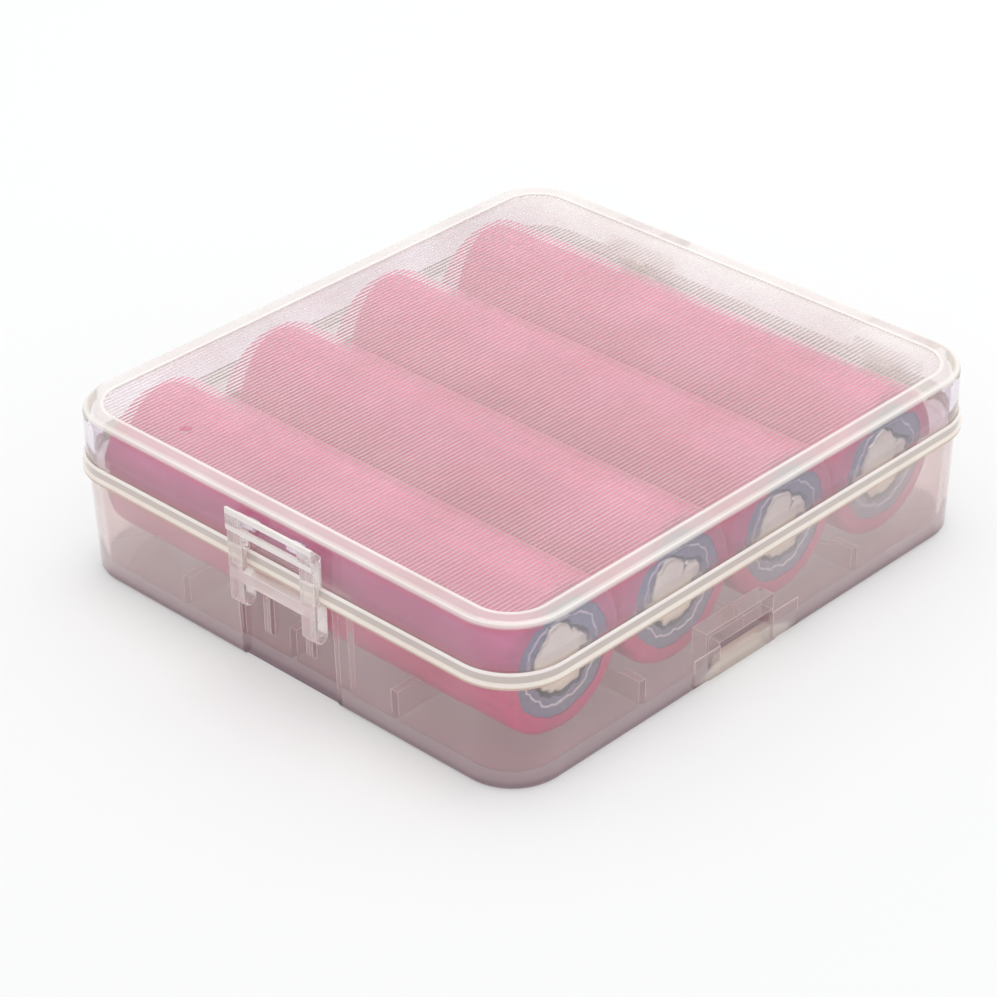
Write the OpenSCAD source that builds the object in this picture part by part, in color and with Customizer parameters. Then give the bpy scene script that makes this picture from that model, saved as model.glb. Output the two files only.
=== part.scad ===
// Hinged see-through box for four cylindrical cells, with a snap latch in front.
// The cells lie along X, the latch is on the -Y wall and the hinge on the +Y wall.
// Z = 0 is the face that the box stands on. All sizes are in millimetres.

/* [Cells] */
// Diameter of a cell over its sleeve
cell_d = 18.4; // [17.8:0.1:21]
// Length of a cell over its sleeve
cell_l = 65.2; // [62:0.1:71]
// Gap between two neighbouring cells
cell_gap = 0.15; // [0.1:0.05:1]
// Thickness of the shrink sleeve
sleeve_t = 0.12; // [0.08:0.01:0.2]
// Wall of the steel can
can_wall = 0.3; // [0.2:0.05:0.4]
// Bare radius left inside the sleeve's folded ends
fold_r = 7; // [6.4:0.1:7.4]
// Radius of the raised terminal on the positive cap
terminal_r = 4.4; // [3.6:0.1:5]

/* [Walls] */
// Wall of the lid
lid_wall = 1; // [0.8:0.1:1.2]
// Top plate of the lid
lid_top = 1.1; // [1:0.1:1.6]
// Height of the lid from the parting line up
lid_h = 7.3; // [7.2:0.1:8]
// Wall of the base
base_wall = 1.2; // [1:0.1:1.3]
// Floor of the base
floor_t = 1.6; // [1.2:0.1:2]
// Plan radius of the lid's corners
corner_r = 7.4; // [6:0.1:9]
// Rounding of the top and bottom edges
edge_r = 0.8; // [0.4:0.1:1]
// How far the base's wall leans in from its rim to its foot
base_lean = 0.5; // [0.3:0.1:0.7]
// How far the base's wall stands back from the lid's, at the rim
base_step = 0.2; // [0.1:0.05:0.3]

/* [Room round the cells] */
// From the lid's front and back walls to the outer cells
side_gap = 2.4; // [2.2:0.1:4]
// From the lid's right wall to the cells' positive ends
plus_gap = 3.95; // [3.8:0.05:6]
// From the lid's left wall to the cells' negative ends
minus_gap = 2.05; // [1.6:0.05:4]
// From the cells to the lid's top plate
top_gap = 0.3; // [0.2:0.1:1.5]
// From the floor to the cells
rest_h = 0.5; // [0.3:0.1:1]
// Clearance of a cell in its cradle
cradle_gap = 0.05; // [0.03:0.01:0.2]

/* [Rim] */
// How far the lid's rim band stands out of its wall
lid_band = 0.3; // [0.2:0.05:0.4]
// Height of the lid's rim band
lid_band_h = 1.3; // [1:0.1:1.6]
// How far the base's rim band stands out of the lid's wall
base_band = 0.5; // [0.4:0.05:0.6]
// Height of the base's rim band
base_band_h = 0.8; // [0.6:0.1:1.2]
// Height of the base's lip inside the lid
lip_h = 1.4; // [1:0.1:2]
// Thickness of that lip
lip_t = 0.7; // [0.6:0.1:0.9]
// Clearance between the lip and the lid
lip_gap = 0.25; // [0.2:0.05:0.4]

/* [Ribbed top] */
// Width of the smooth border round the ribs
border_w = 2.5; // [2:0.1:5]
// Spacing of the ribs
ridge_pitch = 0.61; // [0.55:0.01:1]
// Width of a rib at its foot; the lands between the ribs are flat
ridge_w = 0.3; // [0.2:0.02:0.4]
// Height of the ribs
ridge_h = 0.1; // [0.08:0.02:0.2]
// How far the ribs' crests lie under the border
panel_drop = 0.12; // [0.06:0.02:0.2]
// Radius of the moulding pip on the lid
pip_r = 0.7; // [0.5:0.1:1]
// Distance of the pip from the left wall
pip_left = 15.6; // [8:0.2:30]
// Distance of the pip from the front wall
pip_front = 6.3; // [4:0.1:12]

/* [Cradles] */
// Spacing of the three ribs across the box
cross_pitch = 17; // [14:0.5:20]
// Height of those ribs
cross_h = 5.8; // [4:0.1:7]
// Thickness of all ribs
rib_t = 1; // [0.8:0.1:1.4]
// Height of the three ribs along the box
valley_h = 4.2; // [3.5:0.1:5]
// Height of their raised ends
valley_end_h = 5.3; // [5:0.1:6]
// Length of their raised ends
valley_end_l = 3.3; // [2:0.1:3.5]

/* [Latch] */
// Place of the latch along the front wall
latch_x = 1; // [-6:0.5:6]
// Width of the latch clip
latch_w = 13.8; // [13:0.2:18]
// Width of each of its side rails
rail_w = 2.2; // [1.8:0.1:2.6]
// How far the rails stand out of the lid's wall
rail_out = 1.4; // [1.3:0.05:1.5]
// How far the knuckles at their tops stand out of it
knuckle_out = 1.65; // [1.6:0.05:1.8]
// Clearance between the clip's back and the lid's wall
clip_gap = 0.15; // [0.12:0.01:0.2]
// Height of the pivot over the parting line
pivot_up = 5.25; // [5:0.05:5.3]
// Radius of the lid's pivot pegs
peg_r = 0.4; // [0.36:0.01:0.42]
// Running clearance of the pegs, on the radius
peg_gap = 0.07; // [0.04:0.01:0.08]
// Width of the lid's two latch lugs
lug_w = 1.8; // [1.4:0.1:2.4]
// Side clearance between lug and knuckle
lug_gap = 0.2; // [0.15:0.05:0.4]
// Angle to which the clip swings out
latch_swing = 40; // [30:1:42]
// From the parting line down to the clip's lower end
clip_down = 5.9; // [5.4:0.1:7]
// Height of the clip's lower bar, which catches under the base's rim band
low_bar_h = 1.55; // [1.2:0.05:1.8]
// How far that bar reaches under the band
hook_bite = 0.9; // [0.6:0.1:1]
// Clearance between bar and band
hook_gap = 0.2; // [0.15:0.05:0.3]
// Depth of the base's latch recess, from the lid's wall
recess_in = 1.35; // [1.3:0.05:1.5]
// Side clearance of the clip in the recess
recess_gap = 0.9; // [0.4:0.1:1.2]

/* [Hinge] */
// Distance of each hinge from the middle of the back wall
hinge_x = 20; // [12:0.5:22]
// Outer radius of the hinge knuckles
hinge_r = 1.6; // [1.5:0.05:1.7]
// Radius of the lid's hinge pegs
hinge_peg_r = 0.8; // [0.7:0.05:0.9]
// Running clearance of those pegs, on the radius
hinge_gap = 0.08; // [0.05:0.01:0.1]
// Distance of the hinge axis behind the lid's wall
hinge_out = 2.3; // [2.3:0.05:2.6]
// Width of the lid's knuckle
knuckle_l = 5.6; // [4:0.2:8]
// Width of each ear on the base
ear_l = 1.8; // [1.4:0.1:2.6]
// Side clearance between knuckle and ear
ear_gap = 0.25; // [0.2:0.05:0.4]

/* [Cord loop] */
// Place of the cord loop along the right wall
loop_y = -2; // [-8:0.5:8]
// Width of its opening
loop_w = 9.2; // [7:0.1:12]
// Height of its pocket
loop_h = 4.8; // [4.4:0.1:5.4]
// Depth of its pocket
loop_d = 2; // [1.8:0.1:2.1]
// Thickness of its bar
bar_t = 1.1; // [0.9:0.1:1.1]
// Height of its bar
bar_h = 2.3; // [1.8:0.1:2.6]
// Width of the low pad on each side of it
pad_w = 4.4; // [3:0.1:6]

/* [Hidden] */
CELLS = 4;
CELL_PIECES = ["sleeve", "ring", "cap", "can", "gasket", "vent", "roll"];
$fn = 64;

past = 1; // how far a cutter runs past what it cuts
bond = 0.3; // how far a rib or lug reaches into the wall that carries it
bevel = 0.2; // bevel on the edges of the bands

// The case, worked out from the cells outwards
cell_r = cell_d / 2;
cell_pitch = cell_d + cell_gap;
case_x = cell_l + plus_gap + minus_gap + 2 * lid_wall;
case_y = CELLS * cell_d + (CELLS - 1) * cell_gap + 2 * (side_gap + lid_wall);
case_h = floor_t + rest_h + cell_d + top_gap + lid_top;
part_z = case_h - lid_h;
cell_z = floor_t + rest_h + cell_r;
cell_x = -case_x / 2 + lid_wall + minus_gap;
corner_x = case_x / 2 - corner_r;
corner_y = case_y / 2 - corner_r;
front_y = -case_y / 2;
back_y = case_y / 2;
function row_y(i) = (i - (CELLS + 1) / 2) * cell_pitch;

// The base's wall leans, so its plan radius grows with the height
rim_r = corner_r - base_step;
foot_r = rim_r - base_lean;
foot_x = corner_x + foot_r;
function wall_r(z) = foot_r + (rim_r - foot_r) * z / part_z;
inner_edge_r = 0.6;
lip_r = corner_r - lid_wall - lip_gap;
lip_root = 1.4;
band_z = part_z - base_band_h;

// The latch, seen from the side: how far out of the lid's wall, and how high
latch_half = latch_w / 2;
recess_half = latch_half + recess_gap;
window_half = latch_half - rail_w;
pivot_z = part_z + pivot_up;
pivot_out = (clip_gap + knuckle_out) / 2;
lug_r = peg_r + 0.05;
knuckle_half = 1.4;
knuckle_low = pivot_z - knuckle_half;
knuckle_top = pivot_z + knuckle_half;
slope_off = peg_r + 0.25; // from the pivot to the knuckle's sloping back
slope_turn = latch_swing + 3; // the slope lies along the wall when the clip is out
bar_back = pivot_out + 0.35; // back of the two bars beside the pivot
bar_off = lug_r + 0.2; // from the pivot's height to those bars
over_band = base_band + clip_gap;
under_lid_band = part_z + lid_band_h + hook_gap;
hook_top = band_z - hook_gap;
rail_back = base_band - hook_bite;
clip_low = part_z - clip_down;
stop_x = 3.4; // two low ribs in the recess
stop_low = 4.4;
stop_high = 10.8;

// The cell, from its negative end: s is the distance along its axis
end_round = 1;
ring_t = 0.3;
can_fit = 0.02;
can_r = cell_r - sleeve_t - can_fit;
can_in = can_r - can_wall;
can_top = cell_l - sleeve_t - ring_t;
crimp_s = can_top - can_wall;
bead_drop = 4; // from the crimp down to the rolled groove
bead_s = crimp_s - bead_drop;
bead_r = 0.9;
seal_s = bead_s + bead_r + can_wall + 0.05;
seal_lip = 0.4;
disc_t = 0.35;
cap_flange_t = 0.5;
roll_core_r = 1.5;
cap_r = can_in - 0.85;
cap_s = seal_s + seal_lip + disc_t;

// A solid on the case's plan: the half profile of its wall, radius against height,
// is turned round at each corner and drawn straight from corner to corner
module plan_solid(low, high) {
    for (sx = [-1, 1], sy = [-1, 1])
        translate([sx * corner_x, sy * corner_y, 0])
            rotate_extrude()
                children();
    rotate([90, 0, 0])
        linear_extrude(2 * corner_y, center = true)
            section(corner_x, low, high) children();
    rotate([90, 0, 90])
        linear_extrude(2 * corner_x, center = true)
            section(corner_y, low, high) children();
}

module section(half, low, high) {
    translate([half, 0])
        children();
    mirror([1, 0])
        translate([half, 0])
            children();
    translate([-half, low])
        square([2 * half, high - low]);
}

// Plan of a smooth-cornered rectangle that lies inset from the lid's outline
module plan(inset) {
    square([2 * corner_x, case_y - 2 * inset], center = true);
    square([case_x - 2 * inset, 2 * corner_y], center = true);
    for (sx = [-1, 1], sy = [-1, 1])
        translate([sx * corner_x, sy * corner_y])
            circle(corner_r - inset);
}

// Prism along X on the front wall: the outline is distance out of the wall, height
module front_prism(x0, x1) {
    translate([x0, front_y, 0])
        mirror([0, 1, 0])
            rotate([90, 0, 90])
                linear_extrude(x1 - x0)
                    children();
}

// The same on the back wall
module back_prism(x0, x1) {
    translate([x0, back_y, 0])
        rotate([90, 0, 90])
            linear_extrude(x1 - x0)
                children();
}

// Half profile from the axis out, with a rounded lower edge
module rounded_foot(low, radius_low, rounding) {
    translate([0, low])
        square([radius_low - rounding, 2 * rounding]);
    translate([radius_low - rounding, low + rounding])
        circle(rounding);
}

// Cells' clearance in the cradles
module cell_beds() {
    for (i = [1:CELLS])
        translate([cell_x - past, row_y(i), cell_z])
            rotate([0, 90, 0])
                cylinder(h = cell_l + 2 * past, r = cell_r + cradle_gap);
}

module base_outside() {
    low_r = wall_r(edge_r);
    plan_solid(0, part_z) {
        rounded_foot(0, low_r, edge_r);
        polygon([[0, edge_r], [low_r, edge_r], [rim_r, part_z], [0, part_z]]);
    }
    plan_solid(band_z, part_z)
        polygon([
            [0, band_z],
            [corner_r + base_band - bevel, band_z],
            [corner_r + base_band, band_z + bevel],
            [corner_r + base_band, part_z - bevel],
            [corner_r + base_band - bevel, part_z],
            [0, part_z]
        ]);
    plan_solid(band_z, part_z + lip_h)
        polygon([
            [0, band_z],
            [lip_r, band_z],
            [lip_r, part_z + lip_h - bevel],
            [lip_r - bevel, part_z + lip_h],
            [0, part_z + lip_h]
        ]);
}

module base_hollow() {
    low_z = floor_t + inner_edge_r;
    low_r = wall_r(low_z) - base_wall;
    high_r = wall_r(part_z - lip_root) - base_wall;
    lip_in = lip_r - lip_t;
    plan_solid(floor_t, part_z + lip_h + past) {
        rounded_foot(floor_t, low_r, inner_edge_r);
        polygon([
            [0, low_z],
            [low_r, low_z],
            [high_r, part_z - lip_root],
            [lip_in, part_z - lip_root + high_r - lip_in],
            [lip_in, part_z + lip_h + past],
            [0, part_z + lip_h + past]
        ]);
    }
}

module cradle_ribs() {
    reach_y = case_y / 2 - base_step - base_wall;
    reach_x = case_x / 2 - base_step - base_wall;
    difference() {
        union() {
            for (n = [-1:1])
                translate([n * cross_pitch - rib_t / 2, -reach_y, floor_t - bond])
                    cube([rib_t, 2 * reach_y, cross_h - floor_t + bond]);
            for (i = [1:CELLS - 1])
                translate([0, (row_y(i) + row_y(i + 1) + rib_t) / 2, 0])
                    rotate([90, 0, 0])
                        linear_extrude(rib_t)
                            valley_outline(reach_x);
        }
        cell_beds();
    }
}

// Outline of a rib along the box, low between the cells and high at its ends
module valley_outline(reach) {
    low = reach - valley_end_l;
    polygon([
        [-reach, floor_t - bond],
        [reach, floor_t - bond],
        [reach, valley_end_h],
        [low, valley_end_h],
        [low - (valley_end_h - valley_h), valley_h],
        [(valley_end_h - valley_h) - low, valley_h],
        [-low, valley_end_h],
        [-reach, valley_end_h]
    ]);
}

module latch_recess() {
    front_prism(latch_x - recess_half, latch_x + recess_half)
        translate([-recess_in, -past])
            square([recess_in + past, band_z + past]);
}

// Two low ribs in the recess, behind the clip
module recess_ribs() {
    for (s = [-1, 1])
        front_prism(latch_x + s * stop_x - rib_t / 2, latch_x + s * stop_x + rib_t / 2)
            polygon([
                [-recess_in - bond, stop_low],
                [-recess_in, stop_low],
                [rail_back - bond, stop_low + recess_in + rail_back - bond],
                [rail_back - bond, stop_high],
                [-recess_in - bond, stop_high]
            ]);
}

// Bar across a pocket at the foot of the right wall, for a wrist cord
module loop_housing() {
    half = loop_w / 2 + base_wall;
    translate([foot_x - loop_d - base_wall, loop_y - half, 0])
        cube([loop_d + base_wall - bond, 2 * half, loop_h + base_wall]);
    for (s = [-1, 1])
        translate([foot_x - bond, loop_y + s * (loop_w + pad_w) / 2 - pad_w / 2, edge_r])
            cube([2 * bond, pad_w, loop_h - 2 * bevel - edge_r]);
}

module loop_pocket() {
    translate([foot_x - loop_d, loop_y - loop_w / 2, -past])
        cube([loop_d + past, loop_w, loop_h + past]);
}

module loop_bar() {
    translate([foot_x - bar_t, loop_y - loop_w / 2 - bond, bond])
        cube([bar_t, loop_w + 2 * bond, bar_h]);
}

module hinge_ears() {
    bore_r = hinge_peg_r + hinge_gap;
    for (s = [-1, 1], e = [-1, 1]) {
        mid = s * hinge_x + e * (knuckle_l / 2 + ear_gap + ear_l / 2);
        back_prism(mid - ear_l / 2, mid + ear_l / 2)
            difference() {
                union() {
                    translate([hinge_out, part_z])
                        circle(hinge_r);
                    polygon([
                        [-base_step - bond, part_z - 3 * hinge_r],
                        [0, part_z - 3 * hinge_r],
                        [hinge_out + bevel, part_z - hinge_r],
                        [hinge_out, part_z - bond],
                        [-base_step - bond, part_z - bond]
                    ]);
                }
                translate([hinge_out, part_z])
                    circle(bore_r);
            }
    }
}

module base_tray() {
    color([0.86, 0.82, 0.8, 0.55]) {
        difference() {
            union() {
                difference() {
                    base_outside();
                    base_hollow();
                }
                cradle_ribs();
                front_prism(latch_x - recess_half - base_wall, latch_x + recess_half + base_wall)
                    translate([-recess_in - base_wall, bond])
                        square([recess_in + base_wall - base_step - base_lean - bond, part_z - bond]);
                loop_housing();
            }
            latch_recess();
            loop_pocket();
        }
        recess_ribs();
        loop_bar();
        hinge_ears();
    }
}

module lid_outside() {
    plan_solid(part_z, case_h) {
        polygon([
            [0, part_z],
            [corner_r + lid_band, part_z],
            [corner_r + lid_band, part_z + lid_band_h - bevel],
            [corner_r + lid_band - bevel, part_z + lid_band_h],
            [corner_r, part_z + lid_band_h],
            [corner_r, case_h - edge_r],
            [0, case_h - edge_r]
        ]);
        translate([0, case_h - 2 * edge_r])
            square([corner_r - edge_r, 2 * edge_r]);
        translate([corner_r - edge_r, case_h - edge_r])
            circle(edge_r);
    }
}

module lid_hollow() {
    in_r = corner_r - lid_wall;
    in_top = case_h - lid_top;
    plan_solid(part_z - past, in_top) {
        translate([0, part_z - past])
            square([in_r, in_top - part_z + past - inner_edge_r]);
        translate([0, in_top - 2 * inner_edge_r])
            square([in_r - inner_edge_r, 2 * inner_edge_r]);
        translate([in_r - inner_edge_r, in_top - inner_edge_r])
            circle(inner_edge_r);
    }
}

// What is cut out of the top plate: its floor is flat, with the ribs left standing on it
module ribbed_panel() {
    count = floor((case_x - 2 * border_w) / ridge_pitch);
    crest = case_h - panel_drop;
    land = crest - ridge_h;
    start = -count * ridge_pitch / 2;
    edge = start - ridge_pitch / 2;
    ridges = [
        for (i = [0:count], side = [-1:1])
            [start + i * ridge_pitch + side * ridge_w / 2, crest - abs(side) * ridge_h]
    ];
    intersection() {
        translate([0, 0, crest - 2 * ridge_h])
            linear_extrude(2 * ridge_h + panel_drop + past)
                plan(border_w);
        rotate([90, 0, 0])
            linear_extrude(case_y, center = true)
                polygon(concat(
                    [[-edge, land], [-edge, case_h + past], [edge, case_h + past], [edge, land]],
                    ridges
                ));
    }
}

module latch_lugs() {
    for (s = [-1, 1]) {
        outer = latch_x + s * (window_half - lug_gap);
        inner = outer - s * lug_w;
        peg_end = latch_x + s * (latch_half - lug_gap);
        front_prism(min(inner, outer), max(inner, outer)) {
            translate([pivot_out, pivot_z])
                circle(lug_r);
            translate([-bond, pivot_z - lug_r])
                square([pivot_out + bond, 2 * lug_r]);
        }
        translate([(inner + peg_end) / 2, front_y - pivot_out, pivot_z])
            rotate([0, 90, 0])
                cylinder(h = abs(peg_end - inner), r = peg_r, center = true);
    }
}

module hinge_knuckles() {
    for (s = [-1, 1]) {
        back_prism(s * hinge_x - knuckle_l / 2, s * hinge_x + knuckle_l / 2) {
            translate([hinge_out, part_z])
                circle(hinge_r);
            polygon([
                [-bond, part_z + bond],
                [hinge_out, part_z + bond],
                [hinge_out, part_z + hinge_r],
                [0, part_z + 2 * hinge_r],
                [-bond, part_z + 2 * hinge_r]
            ]);
        }
        translate([s * hinge_x, back_y + hinge_out, part_z])
            rotate([0, 90, 0])
                cylinder(h = knuckle_l + 2 * (ear_gap + ear_l) - 2 * bevel, r = hinge_peg_r, center = true);
    }
}

module lid() {
    color([0.95, 0.9, 0.9, 0.45]) {
        difference() {
            lid_outside();
            lid_hollow();
            ribbed_panel();
        }
        latch_lugs();
        hinge_knuckles();
        translate([pip_left - case_x / 2, pip_front - case_y / 2, case_h - lid_top / 2])
            cylinder(h = lid_top / 2 - panel_drop / 2, r = pip_r);
    }
}

// Side of one rail with its knuckle; the back of the knuckle slopes away so that
// the clip can swing out until the slope meets the lid's wall
module rail_outline() {
    foot = (rail_out - rail_back) / 2;
    back = pivot_out - clip_gap;
    slope_low = pivot_z + (slope_off - back * cos(slope_turn)) / sin(slope_turn);
    slope_front = pivot_out + (knuckle_half * sin(slope_turn) - slope_off) / cos(slope_turn);
    polygon([
        [clip_gap, under_lid_band],
        [over_band, under_lid_band],
        [over_band, hook_top],
        [rail_back, hook_top],
        [rail_back, clip_low + foot],
        [rail_out, clip_low + foot],
        [rail_out, knuckle_low - (knuckle_out - rail_out)],
        [knuckle_out, knuckle_low],
        [knuckle_out, knuckle_top],
        [slope_front, knuckle_top],
        [clip_gap, slope_low]
    ]);
    translate([rail_back + foot, clip_low + foot])
        circle(foot);
}

module latch_bars() {
    polygon([
        [bar_back, pivot_z + bar_off],
        [knuckle_out, pivot_z + bar_off],
        [knuckle_out, knuckle_top],
        [bar_back, knuckle_top]
    ]);
    translate([bar_back, knuckle_low])
        square([knuckle_out - bar_back, knuckle_half - bar_off]);
    polygon([
        [rail_back, hook_top],
        [rail_back, hook_top - low_bar_h / 2],
        [over_band, hook_top - low_bar_h],
        [rail_out, hook_top - low_bar_h],
        [rail_out, hook_top]
    ]);
}

module latch_clip() {
    color([0.93, 0.9, 0.88, 0.6])
        difference() {
            union() {
                for (s = [-1, 1]) {
                    mid = latch_x + s * (latch_half - rail_w / 2);
                    front_prism(mid - rail_w / 2, mid + rail_w / 2)
                        rail_outline();
                }
                front_prism(latch_x - window_half - bond, latch_x + window_half + bond)
                    latch_bars();
            }
            translate([latch_x, front_y - pivot_out, pivot_z])
                rotate([0, 90, 0])
                    cylinder(h = latch_w + 2 * past, r = peg_r + peg_gap, center = true);
        }
}

// Places a piece of cell i, drawn upright from the cell's negative end
module in_cell(i) {
    translate([cell_x, row_y(i), cell_z])
        rotate([0, 90, 0])
            children();
}

// Half profile of a round bar with rounded ends
module bar_profile(radius, length, rounding) {
    square([radius - rounding, length]);
    translate([0, rounding])
        square([radius, length - 2 * rounding]);
    for (s = [rounding, length - rounding])
        translate([radius - rounding, s])
            circle(rounding);
}

module cell_sleeve(i) {
    color([0.86, 0.3, 0.42])
        in_cell(i)
            rotate_extrude()
                difference() {
                    bar_profile(cell_r, cell_l, end_round);
                    translate([0, sleeve_t])
                        bar_profile(cell_r - sleeve_t, cell_l - 2 * sleeve_t, end_round - sleeve_t);
                    translate([0, -past])
                        square([fold_r, cell_l + 2 * past]);
                }
}

module cell_ring(i) {
    color([0.5, 0.53, 0.58])
        in_cell(i)
            translate([0, 0, can_top])
                rotate_extrude()
                    translate([terminal_r + can_wall / 2, 0])
                        square([can_in - end_round + sleeve_t - terminal_r, ring_t]);
}

module cell_cap(i) {
    color([0.8, 0.8, 0.77])
        in_cell(i)
            rotate_extrude()
                difference() {
                    union() {
                        translate([0, cap_s])
                            square([cap_r, cap_flange_t]);
                        translate([0, cap_s])
                            square([terminal_r, cell_l - cap_s]);
                    }
                    translate([0, cap_s - past])
                        square([terminal_r - can_wall, cell_l - cap_s - can_wall + past]);
                }
}

module cell_can(i) {
    color([0.75, 0.75, 0.74])
        in_cell(i)
            rotate_extrude()
                difference() {
                    translate([0, sleeve_t])
                        bar_profile(can_r, can_top - sleeve_t, end_round - sleeve_t);
                    difference() {
                        translate([0, sleeve_t + can_wall])
                            bar_profile(can_in, crimp_s - sleeve_t - can_wall, end_round - can_wall);
                        translate([can_r, bead_s])
                            circle(bead_r + can_wall);
                    }
                    translate([can_r, bead_s])
                        circle(bead_r);
                    translate([0, crimp_s - past])
                        square([cap_r - 2 * can_wall, 2 * past]);
                }
}

module cell_gasket(i) {
    color([0.2, 0.2, 0.22])
        in_cell(i)
            rotate_extrude()
                difference() {
                    translate([cap_r - 2 * can_wall, seal_s])
                        square([can_in - end_round + can_wall - cap_r + 2 * can_wall, crimp_s - seal_s]);
                    translate([0, seal_s + seal_lip])
                        square([cap_r, disc_t + cap_flange_t]);
                }
}

module cell_vent(i) {
    color([0.83, 0.84, 0.86])
        in_cell(i)
            translate([0, 0, seal_s + seal_lip])
                cylinder(h = disc_t, r = cap_r);
}

module cell_roll(i) {
    color([0.45, 0.32, 0.26])
        in_cell(i)
            translate([0, 0, sleeve_t + 2 * can_wall])
                difference() {
                    cylinder(h = bead_s - bead_r - sleeve_t - 4 * can_wall, r = can_in - can_wall);
                    translate([0, 0, -past])
                        cylinder(h = cell_l, r = roll_core_r);
                }
}

base_tray();
lid();
latch_clip();
for (i = [1:CELLS]) {
    cell_sleeve(i);
    cell_ring(i);
    cell_cap(i);
    cell_can(i);
    cell_gasket(i);
    cell_vent(i);
    cell_roll(i);
}
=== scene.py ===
import math

import bmesh
import bpy
from mathutils import Matrix, Vector


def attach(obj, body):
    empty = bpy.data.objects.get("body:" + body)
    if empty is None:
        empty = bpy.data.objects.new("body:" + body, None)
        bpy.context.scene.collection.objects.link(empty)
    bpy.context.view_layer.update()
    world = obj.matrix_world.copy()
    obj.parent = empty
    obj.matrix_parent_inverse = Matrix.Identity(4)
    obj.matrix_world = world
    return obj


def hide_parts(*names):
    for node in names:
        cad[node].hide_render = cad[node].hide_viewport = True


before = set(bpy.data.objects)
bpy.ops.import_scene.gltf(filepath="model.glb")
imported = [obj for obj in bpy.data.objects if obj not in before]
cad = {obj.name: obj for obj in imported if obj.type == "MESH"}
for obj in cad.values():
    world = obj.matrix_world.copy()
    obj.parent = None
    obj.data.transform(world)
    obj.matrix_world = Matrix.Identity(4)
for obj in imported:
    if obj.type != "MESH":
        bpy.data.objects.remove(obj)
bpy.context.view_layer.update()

# ---------------------------------------------------------------- base tray
# The lower half of the case, injection moulded in one piece with its rim band, the beds for
# the cells, the latch recess, the cord loop and the hinge ears.
# The plastic is natural polypropylene, which lets light through with a slight haze.
MM = 0.001
RAMP_TOP = 22  # height in millimetres where each height ramp ends, just above the lid
CORNERS = (29.2 * MM, 33.025 * MM)  # X and Y of the axes of the case's rounded corners
PAST_WALLS = (7.42, 7.5)  # no wall lies more than 7.4 mm from those axes, but rim bands, lugs and ears do


def linear(hex_colour):
    """An sRGB colour such as "#C8D0E0" as the linear RGBA that a shader takes."""
    parts = [int(hex_colour[i : i + 2], 16) / 255 for i in (1, 3, 5)]
    return tuple(c / 12.92 if c <= 0.04045 else ((c + 0.055) / 1.055) ** 2.4 for c in parts) + (1,)


def add_node(tree, kind, settings, links):
    """Adds a node with its properties or socket values, and links other nodes' sockets to its inputs."""
    node = tree.nodes.new(kind)
    for name, value in settings.items():
        if isinstance(name, str) and hasattr(node, name):
            setattr(node, name, value)
        else:
            node.inputs[name].default_value = value
    for name, socket in links.items():
        tree.links.new(socket, node.inputs[name])
    return node


def new_material(name):
    """A material without nodes, and its node tree."""
    material = bpy.data.materials.new(name)
    material.use_nodes = True
    material.node_tree.nodes.clear()
    return material, material.node_tree


def dress(obj, material):
    """Gives an object one material."""
    obj.data.materials.clear()
    obj.data.materials.append(material)


def height_ramp(tree, place, stops):
    """A socket with a colour for each height above the table, from (millimetres, linear colour) pairs."""
    spot = add_node(tree, "ShaderNodeSeparateXYZ", {}, {"Vector": place.outputs["Object"]})
    height = add_node(tree, "ShaderNodeMapRange", {"From Max": RAMP_TOP * MM}, {"Value": spot.outputs["Z"]})
    ramp = add_node(tree, "ShaderNodeValToRGB", {}, {"Fac": height.outputs["Result"]})
    elements = ramp.color_ramp.elements
    elements.remove(elements[1])
    (lowest, shade), *higher = stops
    elements[0].position, elements[0].color = lowest / RAMP_TOP, shade
    for z, shade in higher:
        elements.new(z / RAMP_TOP).color = shade
    return ramp.outputs["Color"]


def share_ramp(tree, place, stops):
    """The same for (millimetres, share) pairs, with shares from 0 to 1."""
    return height_ramp(tree, place, [(z, (share, share, share, 1)) for z, share in stops])


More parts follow.
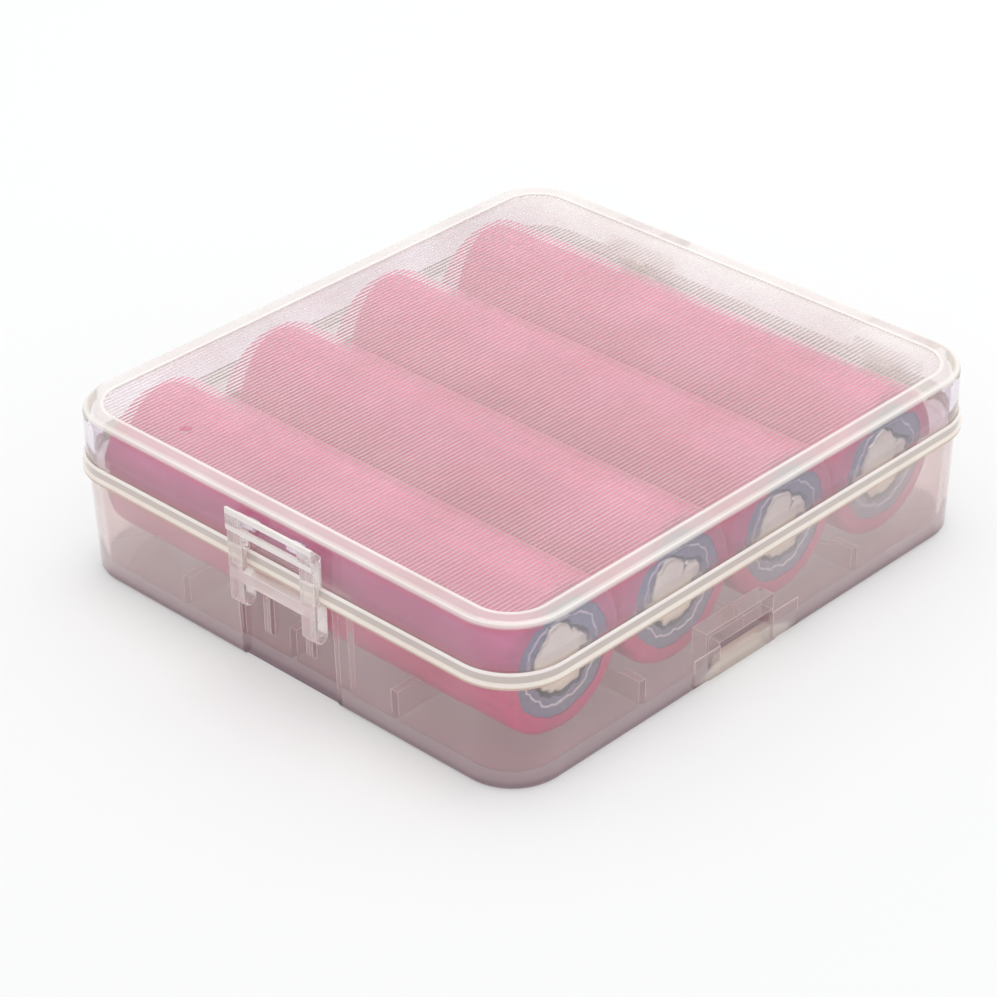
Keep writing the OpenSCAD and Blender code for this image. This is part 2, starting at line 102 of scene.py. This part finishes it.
def moulded_polypropylene(name, bend, tints, clearest, milkiest, unseen, lamp_light):
    """Natural polypropylene as it leaves a polished mould. The eye sees through the thin walls, under a slight
    streaky veil, while thick parts and edges scatter light and look milky. The skin has the faint dimples of a
    cooled melt, drawn 0.9 mm wide so that they show.

    Tints are (height, colour) pairs, and unseen are (height, share) pairs of plastic so thin that it hardly shows.
    Clearest and milkiest are the shares of light that pass at the clearest and at the milkiest spot, and lamp_light
    is the tint of the lamp's light behind a wall. The gloss has the plastic's own index of refraction, and what is
    seen through the wall bends by a lower one, so that it stays in one piece, as it does behind a thin wall.

    Returns the material, the node with the place on the piece, and the node whose Value says how milky a spot is."""
    material, tree = new_material(name)
    place = add_node(tree, "ShaderNodeTexCoord", {}, {})
    streaks = add_node(
        tree,
        "ShaderNodeTexNoise",
        {"Scale": 1 / (14 * MM), "Detail": 3.0, "Roughness": 0.6},
        {"Vector": place.outputs["Object"]},
    )
    haze = add_node(tree, "ShaderNodeValToRGB", {}, {"Fac": streaks.outputs["Fac"]})
    for end, spot, shade in zip(haze.color_ramp.elements, (0.35, 0.65), ("#F8F4F3", "#FFFFFF")):
        end.position, end.color = spot, linear(shade)
    tint = height_ramp(tree, place, [(z, linear(shade)) for z, shade in tints])
    colour = add_node(
        tree,
        "ShaderNodeMix",
        {"data_type": "RGBA", "blend_type": "MULTIPLY", 0: 1.0},
        {6: tint, 7: haze.outputs["Color"]},
    )
    dimples = add_node(
        tree, "ShaderNodeTexNoise", {"Scale": 1 / (0.9 * MM), "Detail": 2.0}, {"Vector": place.outputs["Object"]}
    )
    dull = add_node(
        tree, "ShaderNodeMapRange", {"To Min": 0.03, "To Max": 0.09}, {"Value": dimples.outputs["Fac"]}
    )
    bump = add_node(
        tree, "ShaderNodeBump", {"Strength": 0.12, "Distance": 0.02 * MM}, {"Height": dimples.outputs["Fac"]}
    )
    veil = add_node(tree, "ShaderNodeMapRange", {"Value": 0.0, "To Min": clearest, "To Max": milkiest}, {})
    plastic = add_node(
        tree,
        "ShaderNodeBsdfPrincipled",
        {"IOR": bend, "Coat Weight": 1.0, "Coat IOR": 1.49, "Coat Roughness": 0.06},
        {
            "Base Color": colour.outputs[2],
            "Roughness": dull.outputs["Result"],
            "Normal": bump.outputs["Normal"],
            "Transmission Weight": veil.outputs["Result"],
        },
    )
    gone = add_node(tree, "ShaderNodeBsdfTransparent", {}, {})
    seen = add_node(
        tree,
        "ShaderNodeMixShader",
        {},
        {0: share_ramp(tree, place, unseen), 1: plastic.outputs["BSDF"], 2: gone.outputs["BSDF"]},
    )
    # The lamp's light goes straight through the wall, a little weaker, so the case throws a pale shadow
    through = add_node(tree, "ShaderNodeBsdfTransparent", {"Color": linear(lamp_light)}, {})
    ray = add_node(tree, "ShaderNodeLightPath", {}, {})
    both = add_node(
        tree,
        "ShaderNodeMixShader",
        {},
        {0: ray.outputs["Is Shadow Ray"], 1: seen.outputs["Shader"], 2: through.outputs["BSDF"]},
    )
    add_node(tree, "ShaderNodeOutputMaterial", {}, {"Surface": both.outputs["Shader"]})
    return material, place, veil


def rim_milk(tree, place, near, far, stops):
    """Milkiness of a ring round the case, by height. In plan the ring starts at the distance near from the corner
    axes and is full from far on, in millimetres. A negative distance takes in all that lies inside, too."""
    outside = add_node(tree, "ShaderNodeVectorMath", {"operation": "ABSOLUTE"}, {0: place.outputs["Object"]})
    # Taking a whole metre off the height leaves the plan alone
    outside = add_node(
        tree, "ShaderNodeVectorMath", {"operation": "SUBTRACT", 1: (*CORNERS, 1)}, {0: outside.outputs["Vector"]}
    )
    outside = add_node(tree, "ShaderNodeVectorMath", {"operation": "MAXIMUM"}, {0: outside.outputs["Vector"]})
    outside = add_node(tree, "ShaderNodeVectorMath", {"operation": "LENGTH"}, {0: outside.outputs["Vector"]})
    ring = add_node(
        tree,
        "ShaderNodeMapRange",
        {"From Min": near * MM, "From Max": far * MM},
        {"Value": outside.outputs["Value"]},
    )
    milk = add_node(
        tree,
        "ShaderNodeMath",
        {"operation": "MULTIPLY"},
        {0: ring.outputs["Result"], 1: share_ramp(tree, place, stops)},
    )
    return milk.outputs["Value"]


def edge_milk_and_highlight(tree, radius, least, most):
    """Milkiness of edges, which are rounded to a radius in millimetres: least where the surface is flat, and most
    along the edges. It stands partly for the scatter of the thicker plastic there and partly for painted highlights
    that the rounded edges catch."""
    rounded = add_node(tree, "ShaderNodeBevel", {"samples": 6, "Radius": radius * MM}, {})
    flat = add_node(tree, "ShaderNodeNewGeometry", {}, {})
    alike = add_node(
        tree,
        "ShaderNodeVectorMath",
        {"operation": "DOT_PRODUCT"},
        {0: rounded.outputs["Normal"], 1: flat.outputs["Normal"]},
    )
    milk = add_node(
        tree,
        "ShaderNodeMapRange",
        {"From Min": 0.98, "From Max": 0.8, "To Min": least, "To Max": most},
        {"Value": alike.outputs["Value"]},
    )
    return milk.outputs["Result"]


def make_milky(tree, veil, operation, parts):
    """Joins several sockets of milkiness into one, and gives it to the plastic."""
    milk, *others = parts
    for part in others:
        milk = add_node(tree, "ShaderNodeMath", {"operation": operation}, {0: milk, 1: part}).outputs["Value"]
    tree.links.new(milk, veil.inputs["Value"])


# The foot is tinted dark where the eye looks through the most plastic, and the tint also paints the shade of the
# shadow under the case. The rim band is warm, with a painted highlight along its top. The lip over it stands inside
# the lid and hardly shows
base_plastic, place, veil = moulded_polypropylene(
    "Polypropylene, natural, base",
    bend=1.08,
    tints=[
        # The dark stops at the foot are painted shade of the shadow under the case, and the pale stops from 14.28 mm
        # up paint a highlight along the rim band's top
        *((0, "#8F7C84"), (0.8, "#A8949B"), (1.5, "#E4D4D6"), (2.4, "#FBEDEC"), (13.5, "#FFF5F4")),
        *((13.75, "#E6D2C2"), (14.2, "#E6D2C2"), (14.28, "#FFF9F0"), (14.75, "#FFF9F0"), (14.8, "#FFFFFF")),
    ],
    clearest=0.95,
    milkiest=0.1,
    unseen=[(14.7, 0), (14.75, 0.75)],
    lamp_light="#ECEEED",
)
tree = base_plastic.node_tree
# The rim band, from 13.8 to 14.6 mm up, is milkiest along its top, a painted highlight, and the ears under it are
# clearer
band_stops = [(0, 0.25), (13.75, 0.25), (13.82, 0.8), (14.2, 0.8), (14.28, 1), (14.8, 1)]
band = rim_milk(tree, place, *PAST_WALLS, band_stops)
# The thick pads and bar of the cord loop, at the foot of the wall at the positive ends, look cream. They lie in an
# oval round this point, with these half lengths
LOOP_MIDDLE, LOOP_REACH = (35.6 * MM, -2 * MM, 1.2 * MM), (1.5 * MM, 10 * MM, 2.4 * MM)
loop = add_node(
    tree,
    "ShaderNodeMapping",
    {"vector_type": "TEXTURE", "Location": LOOP_MIDDLE, "Scale": LOOP_REACH},
    {"Vector": place.outputs["Object"]},
)
loop = add_node(tree, "ShaderNodeTexGradient", {"gradient_type": "SPHERICAL"}, {"Vector": loop.outputs["Vector"]})
loop = add_node(tree, "ShaderNodeMapRange", {"From Max": 0.2, "To Max": 0.5}, {"Value": loop.outputs["Fac"]})
# To the eye the walls are clearest at the near corner, by the first terminal, and hazier towards their far ends
NEAR_CORNER = -74  # Y less X at that corner, in millimetres
HAZE_START, HAZE_END = NEAR_CORNER + 10, NEAR_CORNER + 78
spot = add_node(tree, "ShaderNodeSeparateXYZ", {}, {"Vector": place.outputs["Object"]})
way = add_node(tree, "ShaderNodeMath", {"operation": "SUBTRACT"}, {0: spot.outputs["Y"], 1: spot.outputs["X"]})
haze = add_node(
    tree,
    "ShaderNodeMapRange",
    {"From Min": HAZE_START * MM, "From Max": HAZE_END * MM, "To Max": 0.5},
    {"Value": way.outputs["Value"]},
)
walls = rim_milk(tree, place, 6.3, 6.5, [(0, 0.5), (13.7, 1)])
haze = add_node(tree, "ShaderNodeMath", {"operation": "MULTIPLY"}, {0: haze.outputs["Result"], 1: walls})
# The edges of the beds and of the recess show as milky lines, partly painted highlights, and those of the floor and
# the rim band don't
beds = share_ramp(tree, place, [(2.5, 0), (2.7, 1), (13.5, 1), (13.6, 0)])
edges = add_node(tree, "ShaderNodeMath", {"operation": "MULTIPLY"}, {0: edge_milk_and_highlight(tree, 0.25, 0.0, 1.0), 1: beds})
make_milky(tree, veil, "MAXIMUM", [band, loop.outputs["Result"], haze.outputs["Value"], edges.outputs["Value"]])
plastic = tree.nodes["Principled BSDF"]
cream = add_node(
    tree,
    "ShaderNodeMix",
    {"data_type": "RGBA", 7: linear("#FFF6E6")},
    {0: loop.outputs["Result"], 6: plastic.inputs["Base Color"].links[0].from_socket},
)
tree.links.new(cream.outputs[2], plastic.inputs["Base Color"])
dress(cad["base_tray"], base_plastic)

# ---------------------------------------------------------------- lid
# The upper half, moulded from the same plastic, with a field of fine parallel ribs on its top.
# Its pegs turn in the base's ears at the back, and two lugs carry the latch at the front.
lid_plastic, place, veil = moulded_polypropylene(
    "Polypropylene, natural, lid",
    bend=1.15,
    tints=[
        # The pale stops at the rim band's two edges are painted highlights
        *((14.7, "#FFF9F0"), (14.78, "#E4D9D3"), (15.55, "#E4D9D3"), (15.62, "#FFFAF7"), (15.95, "#FFFAF7")),
        *((16.1, "#FAF4FE"), (20.6, "#FAF4FE"), (21.2, "#FFFCF7"), (22, "#FFFCF7")),
    ],
    clearest=0.96,
    milkiest=0.04,
    unseen=[(0, 0)],
    lamp_light="#FDFBFB",
)
tree = lid_plastic.node_tree
# The rim band, up to 15.9 mm, is brightest along its two edges, where highlights are painted as milk and pale tint.
# Lugs and knuckles over it are half milky
band_stops = [(14.7, 1), (14.78, 0.8), (15.55, 0.8), (15.62, 1), (15.9, 1), (16.0, 0.5), (20.8, 0.5), (21, 0)]
band = rim_milk(tree, place, *PAST_WALLS, band_stops)
# The raised border of the top is milky too, and less so on its flat than along its step and its rounding, where the
# extra milk is a painted highlight
border = rim_milk(tree, place, 4.8, 4.95, [(21.3, 0), (21.6, 0.4), (21.7, 0.4), (21.85, 0.85)])
flat = rim_milk(tree, place, 5.2, 5.5, [(21.7, 0), (21.8, 0.38)])
border = add_node(tree, "ShaderNodeMath", {"operation": "SUBTRACT"}, {0: border, 1: flat})
rounding = rim_milk(tree, place, 6.5, 6.9, [(21.2, 0), (21.4, 0.35), (22, 0.35)])
# The top grows whiter towards the hinge, between these distances from the middle, and hides the pegs
STRIP_START, STRIP_END = 29, 37
spot = add_node(tree, "ShaderNodeSeparateXYZ", {}, {"Vector": place.outputs["Object"]})
strip = add_node(
    tree,
    "ShaderNodeMapRange",
    {"From Min": STRIP_START * MM, "From Max": STRIP_END * MM, "To Max": 0.45},
    {"Value": spot.outputs["Y"]},
)
top = share_ramp(tree, place, [(21.6, 0), (21.65, 1), (21.8, 1), (21.85, 0)])
strip = add_node(tree, "ShaderNodeMath", {"operation": "MULTIPLY"}, {0: strip.outputs["Result"], 1: top})
# The ribs rise from 21.68 to 21.78 mm and are painted whiter than the lands between them, as the highlights on them
rib_stops = [(20.4, 0.05), (20.8, 0), (21.69, 0), (21.72, 0.45), (21.79, 0.45), (21.82, 0.0)]
ribs = rim_milk(tree, place, -2, -1, rib_stops)
make_milky(tree, veil, "ADD", [band, border.outputs["Value"], rounding, strip.outputs["Value"], ribs])
dress(cad["lid"], lid_plastic)

# ---------------------------------------------------------------- latch clip
# A small swinging clip of the same plastic, snapped over the pegs of the lid's lugs.
# Its lower bar catches under the base's rim band. Its many edges stand close together and look white, partly from the
# scatter of the plastic and partly from highlights painted along them.
clip_plastic, place, veil = moulded_polypropylene(
    "Polypropylene, natural, latch",
    bend=1.15,
    tints=[(0, "#FFFBF9"), (22, "#FFFBF9")],
    clearest=0.88,
    milkiest=0.05,
    unseen=[(0, 0)],
    lamp_light="#D8BAC4",
)
tree = clip_plastic.node_tree
# The three bars are thicker than the rails
bar_stops = [
    *((0, 0.1), (12.0, 0.1), (12.1, 0.3), (13.5, 0.3), (13.6, 0.1), (18.4, 0.1), (18.5, 0.8), (19.15, 0.8)),
    *((19.25, 0.1), (20.45, 0.1), (20.55, 0.8), (22, 0.8)),
]
make_milky(tree, veil, "MAXIMUM", [edge_milk_and_highlight(tree, 0.22, 0.17, 0.95), share_ramp(tree, place, bar_stops)])
dress(cad["latch_clip"], clip_plastic)

# ---------------------------------------------------------------- cell sleeves
# Each cell is wrapped in raspberry-coloured shrink film, which folds over both ends of the can.
# The film is thin PVC: even colour, a satin gloss and fine wrinkles where it has shrunk.
CELLS = {1: -27.825 * MM, 2: -9.275 * MM, 3: 9.275 * MM, 4: 27.825 * MM}  # Y of each cell's axis
CELL_START, CELL_HEIGHT = -33.55 * MM, 11.3 * MM  # X of the negative ends and Z of the axes
CELL_L, CELL_R = 65.2, 9.2  # over the film
FILM_T, FOLD_R, SHOULDER_R = 0.12, 7.0, 1.0
WRAP_STEPS = 96


def two_tones(tree, grain, detail, dark, light, drawn, low=0.3):
    """A pattern with grains of a size in millimetres, drawn out along the cell where drawn is under 1, and a ramp
    over it from one close colour to the other, which starts at low. Returns the nodes of both."""
    place = add_node(tree, "ShaderNodeTexCoord", {}, {})
    along = add_node(tree, "ShaderNodeMapping", {"Scale": (drawn, 1, 1)}, {"Vector": place.outputs["Object"]})
    pattern = add_node(
        tree, "ShaderNodeTexNoise", {"Scale": 1 / (grain * MM), "Detail": detail}, {"Vector": along.outputs["Vector"]}
    )
    tint = add_node(tree, "ShaderNodeValToRGB", {}, {"Fac": pattern.outputs["Fac"]})
    for end, spot, shade in zip(tint.color_ramp.elements, (low, 1 - low), (dark, light)):
        end.position, end.color = spot, linear(shade)
    return pattern, tint


def shrink_film():
    """PVC film. The eye sees a satin gloss, broken by shallow wrinkles that are 1.6 mm wide and run along the cell."""
    material, tree = new_material("PVC shrink film, raspberry")
    wrinkles, tint = two_tones(tree, 1.6, 3.0, "#C6427C", "#D65089", 0.12)
    bump = add_node(
        tree, "ShaderNodeBump", {"Strength": 0.25, "Distance": 0.03 * MM}, {"Height": wrinkles.outputs["Fac"]}
    )
    gloss = add_node(
        tree, "ShaderNodeMapRange", {"To Min": 0.34, "To Max": 0.46}, {"Value": wrinkles.outputs["Fac"]}
    )
    surface = add_node(
        tree,
        "ShaderNodeBsdfPrincipled",
        {"IOR": 1.53},
        {
            "Base Color": tint.outputs["Color"],
            "Roughness": gloss.outputs["Result"],
            "Normal": bump.outputs["Normal"],
        },
    )
    add_node(tree, "ShaderNodeOutputMaterial", {}, {"Surface": surface.outputs["BSDF"]})
    return material


def turned(profile, steps):
    """A profile of (distance along the cell, radius) points in millimetres, spun round the cell's axis."""
    mesh = bmesh.new()
    points = [mesh.verts.new((along * MM, 0, radius * MM)) for along, radius in profile]
    line = [mesh.edges.new(pair) for pair in zip(points, points[1:])]
    bmesh.ops.spin(
        mesh,
        geom=points + line,
        cent=(0, 0, 0),
        axis=(1, 0, 0),
        angle=math.tau,
        steps=steps,
        use_merge=True,
        use_duplicate=False,
    )
    bmesh.ops.remove_doubles(mesh, verts=mesh.verts, dist=0.001 * MM)
    bmesh.ops.recalc_face_normals(mesh, faces=mesh.faces)
    return mesh


def round_axis(vert):
    """A vertex's distance from the cell's axis in millimetres, and its angle round it."""
    return math.hypot(vert.co.y, vert.co.z) / MM, math.atan2(vert.co.z, vert.co.y)


def cell_piece(mesh, name, cell, node, material):
    """Puts a mesh made round the X axis in its cell's place, where it stands for that cell's CAD node. Edges that
    turn by 40 degrees or more stay sharp."""
    mesh.transform(Matrix.Translation((CELL_START, CELLS[cell], CELL_HEIGHT)))
    for edge in mesh.edges:
        edge.smooth = edge.calc_face_angle(0) < math.radians(40)
    for face in mesh.faces:
        face.smooth = True
    data = bpy.data.meshes.new(name)
    mesh.to_mesh(data)
    mesh.free()
    piece = bpy.data.objects.new(name, data)
    bpy.context.scene.collection.objects.link(piece)
    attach(piece, "base")
    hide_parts(f"cell_{cell}_{node}")
    dress(piece, material)
    return piece


film = shrink_film()
# From the film's cut edge, across the end and round the shoulder, in steps of 15 degrees
fold = [(0, FOLD_R), (0, FOLD_R + 0.5)]
for degrees in range(90, -1, -15):
    turn = math.radians(degrees)
    fold.append((SHOULDER_R - math.sin(turn), CELL_R - SHOULDER_R + math.cos(turn)))
far_fold = [(CELL_L - along, radius) for along, radius in reversed(fold)]
wrap_profile = [*fold, *((along, CELL_R) for along in (12.0, 32.6, 53.2)), *far_fold]
for cell in CELLS:
    wrap = turned(wrap_profile, WRAP_STEPS)
    for vert in wrap.verts:
        radius, angle = round_axis(vert)
        # The cut edge puckers as the film shrinks
        if radius < FOLD_R + 0.2:
            pull = 0.1 * math.sin(7 * angle + cell) + 0.06 * math.sin(17 * angle + 2 * cell)
            vert.co.yz = vert.co.yz * (1 + pull / radius)
    bmesh.ops.solidify(wrap, geom=wrap.faces, thickness=FILM_T * MM)
    cell_piece(wrap, f"cell_{cell}_wrap", cell, "sleeve", film)


# ---------------------------------------------------------------- end rings
# A stamped washer of blue-grey vulcanised fibre lies on the crimped rim round the terminal, held by the film's fold.
# It is matt and slightly mottled, with a torn hole and a wavy ridge round it, and the ridge is painted pale as a
# highlight.
TERMINAL_R = 4.15  # mean radius of the terminal that the hole follows
NOTCH_AT, NOTCH_DEPTH, NOTCH_WIDTH = math.radians(58), 0.75, 0.34  # the depth in millimetres, the rest in radians
LOBE_PAST_NOTCH, LOBE_REACH, LOBE_WIDTH = math.radians(50), 0.8, 0.3
OUTLINE_STEPS = 200
HOLE_R = 4.6
RIDGE_FOOT = 65.06  # what lies further along the cell is the ridge, painted pale as a highlight


def fibre(name, dark, light):
    """Vulcanised fibre. The eye sees a matt card with the mottle of pressed pulp, in flecks of 0.7 mm."""
    material, tree = new_material(name)
    pulp, tint = two_tones(tree, 0.7, 4.0, dark, light, 1)
    bump = add_node(
        tree, "ShaderNodeBump", {"Strength": 0.3, "Distance": 0.03 * MM}, {"Height": pulp.outputs["Fac"]}
    )
    card = add_node(
        tree,
        "ShaderNodeBsdfPrincipled",
        {"IOR": 1.5, "Roughness": 0.55},
        {"Base Color": tint.outputs["Color"], "Normal": bump.outputs["Normal"]},
    )
    add_node(tree, "ShaderNodeOutputMaterial", {}, {"Surface": card.outputs["BSDF"]})
    return material


def terminal_reach(angle, cell):
    """Radius of the terminal's lobed outline in millimetres. It has one deep notch and one long lobe near its top."""
    turn = (angle + 0.12 * math.sin(2 * cell) - NOTCH_AT) % math.tau
    notch = NOTCH_DEPTH * math.exp(-((min(turn, math.tau - turn) / NOTCH_WIDTH) ** 2))
    turn = (turn - LOBE_PAST_NOTCH) % math.tau
    lobe = LOBE_REACH * math.exp(-((min(turn, math.tau - turn) / LOBE_WIDTH) ** 2))
    lumps = sum(0.08 * math.cos(count * angle + count * cell) for count in (3, 7, 10, 13, 19))
    return TERMINAL_R + lobe - notch + lumps


washer_card = fibre("Vulcanised fibre, blue-grey", "#737E9A", "#8990AC")
# The ridge's pale colour is a painted highlight along it
washer_ridge_highlight = fibre("Vulcanised fibre, ridge painted pale as a highlight", "#C4C9D6", "#E0E3EA")
washer_profile = [
    *((64.8, 4.7), (63.2, HOLE_R), (65.0, HOLE_R), (65.04, 4.8), (65.04, 5.35), (65.18, 5.42), (65.18, 5.56)),
    *((65.04, 5.64), (65.04, 8.0), (64.8, 8.0), (64.8, 4.7)),
]
for cell in CELLS:
    washer = turned(washer_profile, OUTLINE_STEPS)
    for vert in washer.verts:
        radius, angle = round_axis(vert)
        if radius < 5:
            # The hole follows the terminal with an uneven gap
            gap = 0.48 + 0.12 * math.cos(angle + 0.9) + 0.1 * math.cos(9 * angle + cell)
            vert.co.yz = vert.co.yz * ((terminal_reach(angle, cell) + gap + radius - HOLE_R) / radius)
        elif radius < 5.7:
            # The ridge wanders
            pull = 0.16 * math.cos(7 * angle + cell) + 0.1 * math.cos(16 * angle + 2 * cell)
            pull += 0.05 * math.cos(29 * angle)
            vert.co.yz = vert.co.yz * (1 + pull / radius)
    piece = cell_piece(washer, f"cell_{cell}_washer", cell, "ring", washer_card)
    piece.data.materials.append(washer_ridge_highlight)
    for face in piece.data.polygons:
        face.material_index = int(face.center.x > CELL_START + RIDGE_FOOT * MM)


# ---------------------------------------------------------------- metal of the cells
# The can, the terminal cap and the vent disc are pressed from sheet, and the can's crimped rim
# holds the other two. Can and cap are steel with nickel plate, the vent is aluminium.
CAP_WALL_R = 4.38  # of the raised top before it is lobed


def plated_steel(name, light, dark, rough):
    """Pressed sheet. The eye sees a pale satin shine that breaks up along fine drawing lines. The real lines are
    finer than 0.1 mm, and are drawn at 0.35 mm so that they show."""
    material, tree = new_material(name)
    lines, tint = two_tones(tree, 0.35, 2.0, dark, light, 0.1)
    shine = add_node(
        tree, "ShaderNodeMapRange", {"To Min": rough - 0.05, "To Max": rough + 0.08}, {"Value": lines.outputs["Fac"]}
    )
    metal = add_node(
        tree,
        "ShaderNodeBsdfPrincipled",
        {"Metallic": 1.0},
        {"Base Color": tint.outputs["Color"], "Roughness": shine.outputs["Result"]},
    )
    add_node(tree, "ShaderNodeOutputMaterial", {}, {"Surface": metal.outputs["BSDF"]})
    return material


nickel = plated_steel("Nickel plate, satin", "#F6FCEC", "#E8EEDC", 0.35)
can_plate = plated_steel("Nickel-plated can steel", "#D4D3CF", "#C4C3BF", 0.4)
aluminium = plated_steel("Aluminium sheet, rolled", "#DADCE0", "#CCCED2", 0.4)
cap_profile = [
    *((65.2, 0), (65.2, 3.0), (65.2, 3.85), (65.15, 4.1), (65.0, 4.3), (64.8, CAP_WALL_R), (62.98, CAP_WALL_R)),
    *((62.98, 7.9), (62.5, 7.9), (62.5, 4.1), (64.7, 4.1), (64.9, 3.8), (64.9, 0)),
]
for cell in CELLS:
    terminal = turned(cap_profile, OUTLINE_STEPS)
    for vert in terminal.verts:
        radius, angle = round_axis(vert)
        # Only the rounded shoulder of the raised top takes the lobed outline
        if 3.5 < radius < 4.5 and vert.co.x > 64 * MM:
            vert.co.yz = vert.co.yz * (terminal_reach(angle, cell) / CAP_WALL_R)
    cell_piece(terminal, f"cell_{cell}_terminal", cell, "cap", nickel)
    dress(cad[f"cell_{cell}_can"], can_plate)
    dress(cad[f"cell_{cell}_vent"], aluminium)


# ---------------------------------------------------------------- inside of the cells
# The gasket that seals the cap is dark polypropylene, and the wound electrodes are copper and
# aluminium foil with separator film between. Neither is seen while the cell is whole.
def inner_part(name, dark, light, metallic):
    """A dull part with a fine grain along the cell."""
    material, tree = new_material(name)
    _, tint = two_tones(tree, 0.5, 2.0, dark, light, 0.05, 0.35)
    body = add_node(
        tree,
        "ShaderNodeBsdfPrincipled",
        {"Roughness": 0.5, "Metallic": metallic},
        {"Base Color": tint.outputs["Color"]},
    )
    add_node(tree, "ShaderNodeOutputMaterial", {}, {"Surface": body.outputs["BSDF"]})
    return material


gasket_plastic = inner_part("Polypropylene, black, gasket", "#202024", "#2A2A2E", 0.0)
foil = inner_part("Electrode foil, copper and graphite", "#5A4034", "#7A5846", 0.8)
for cell in CELLS:
    dress(cad[f"cell_{cell}_gasket"], gasket_plastic)
    dress(cad[f"cell_{cell}_roll"], foil)


# ---------------------------------------------------------------- camera
# It looks down on the corner between the latch wall and the wall at the positive ends, through
# a long lens, and is turned by less than a degree.
AZIMUTH, ELEVATION, LEAN = math.radians(44.17), math.radians(31.47), math.radians(-0.84)
TARGET, REACH = Vector((3.245, -8.012, 10.94)) * MM, 390.1 * MM  # the point looked at, and the way to it
LENS_PX, SHIFT_PX, IMAGE_PX = 3350.6, -1.5, 997  # focal length, shift of the view and side of the picture
back = Vector(
    (math.sin(AZIMUTH) * math.cos(ELEVATION), -math.cos(AZIMUTH) * math.cos(ELEVATION), math.sin(ELEVATION))
)
level = Vector((math.cos(AZIMUTH), math.sin(AZIMUTH), 0))
plumb = back.cross(level)
right = level * math.cos(LEAN) + plumb * math.sin(LEAN)
up = plumb * math.cos(LEAN) - level * math.sin(LEAN)
camera = bpy.data.objects.new("camera", bpy.data.cameras.new("camera"))
bpy.context.scene.collection.objects.link(camera)
camera.data.sensor_width = 36
camera.data.lens = LENS_PX * camera.data.sensor_width / IMAGE_PX
camera.data.shift_y = SHIFT_PX / IMAGE_PX
camera.matrix_world = Matrix.Translation(TARGET + back * REACH) @ Matrix((right, up, back)).transposed().to_4x4()
bpy.context.scene.camera = camera

# ---------------------------------------------------------------- floor
# A white table top, which goes on past every edge of the picture.
# It is partly lit by itself for the camera and the gloss, and more so where it is seen through the case, so that
# it is white with a soft shadow and the base isn't dark inside.
HALF_WIDTH, GAP = 3.0, 0.02 * MM
OWN_LIGHT, OWN_LIGHT_BEHIND_PLASTIC = 0.3, 0.56  # shares
table = bmesh.new()
bmesh.ops.create_grid(table, x_segments=1, y_segments=1, size=HALF_WIDTH)
floor_mesh = bpy.data.meshes.new("floor")
table.to_mesh(floor_mesh)
table.free()
floor = bpy.data.objects.new("floor", floor_mesh)
floor.location.z = -GAP
bpy.context.scene.collection.objects.link(floor)
paper, tree = new_material("Paper, white")
ray = add_node(tree, "ShaderNodeLightPath", {}, {})
seen = add_node(
    tree, "ShaderNodeMath", {"operation": "ADD"}, {0: ray.outputs["Is Camera Ray"], 1: ray.outputs["Is Glossy Ray"]}
)
seen = add_node(
    tree, "ShaderNodeMath", {"operation": "MULTIPLY", 1: OWN_LIGHT, "use_clamp": True}, {0: seen.outputs["Value"]}
)
below = add_node(
    tree,
    "ShaderNodeMath",
    {"operation": "MULTIPLY", 1: OWN_LIGHT_BEHIND_PLASTIC},
    {0: ray.outputs["Is Transmission Ray"]},
)
share = add_node(
    tree, "ShaderNodeMath", {"operation": "MAXIMUM"}, {0: seen.outputs["Value"], 1: below.outputs["Value"]}
)
lit = add_node(tree, "ShaderNodeBsdfDiffuse", {"Color": (0.89, 0.9, 0.9, 1)}, {})
own = add_node(tree, "ShaderNodeEmission", {"Color": (1, 1, 1, 1), "Strength": 1.05}, {})
mix = add_node(
    tree,
    "ShaderNodeMixShader",
    {},
    {0: share.outputs["Value"], 1: lit.outputs["BSDF"], 2: own.outputs["Emission"]},
)
add_node(tree, "ShaderNodeOutputMaterial", {}, {"Surface": mix.outputs["Shader"]})
dress(floor, paper)

# ---------------------------------------------------------------- light
# A white room with one wide soft lamp overhead, a little behind the case, as in a light tent.
# The room is white to look at, and gives a little less light than that.
ROOM_LIGHT, LAMP_SIZE, LAMP_WATTS, LAMP_AT = 0.78, 0.4, 1.35, Vector((-0.05, 0.15, 0.6))
room = bpy.data.worlds.new("room")
bpy.context.scene.world = room
room.use_nodes = True
tree = room.node_tree
tree.nodes.clear()
ray = add_node(tree, "ShaderNodeLightPath", {}, {})
seen = add_node(
    tree, "ShaderNodeMath", {"operation": "ADD"}, {0: ray.outputs["Is Camera Ray"], 1: ray.outputs["Is Glossy Ray"]}
)
seen = add_node(
    tree,
    "ShaderNodeMath",
    {"operation": "ADD", "use_clamp": True},
    {0: seen.outputs["Value"], 1: ray.outputs["Is Transmission Ray"]},
)
walls = add_node(tree, "ShaderNodeBackground", {"Color": (1, 1, 1, 1), "Strength": ROOM_LIGHT}, {})
white = add_node(tree, "ShaderNodeBackground", {"Color": (1, 1, 1, 1), "Strength": 1.0}, {})
mix = add_node(
    tree,
    "ShaderNodeMixShader",
    {},
    {0: seen.outputs["Value"], 1: walls.outputs["Background"], 2: white.outputs["Background"]},
)
add_node(tree, "ShaderNodeOutputWorld", {}, {"Surface": mix.outputs["Shader"]})
lamp = bpy.data.objects.new("overhead lamp", bpy.data.lights.new("overhead lamp", "AREA"))
bpy.context.scene.collection.objects.link(lamp)
lamp.data.shape = "SQUARE"
lamp.data.size = LAMP_SIZE
lamp.data.energy = LAMP_WATTS
lamp.location = LAMP_AT
lamp.rotation_mode = "QUATERNION"
lamp.rotation_quaternion = (-LAMP_AT).to_track_quat("-Z", "Y")

bpy.context.scene.view_settings.view_transform = "Standard"
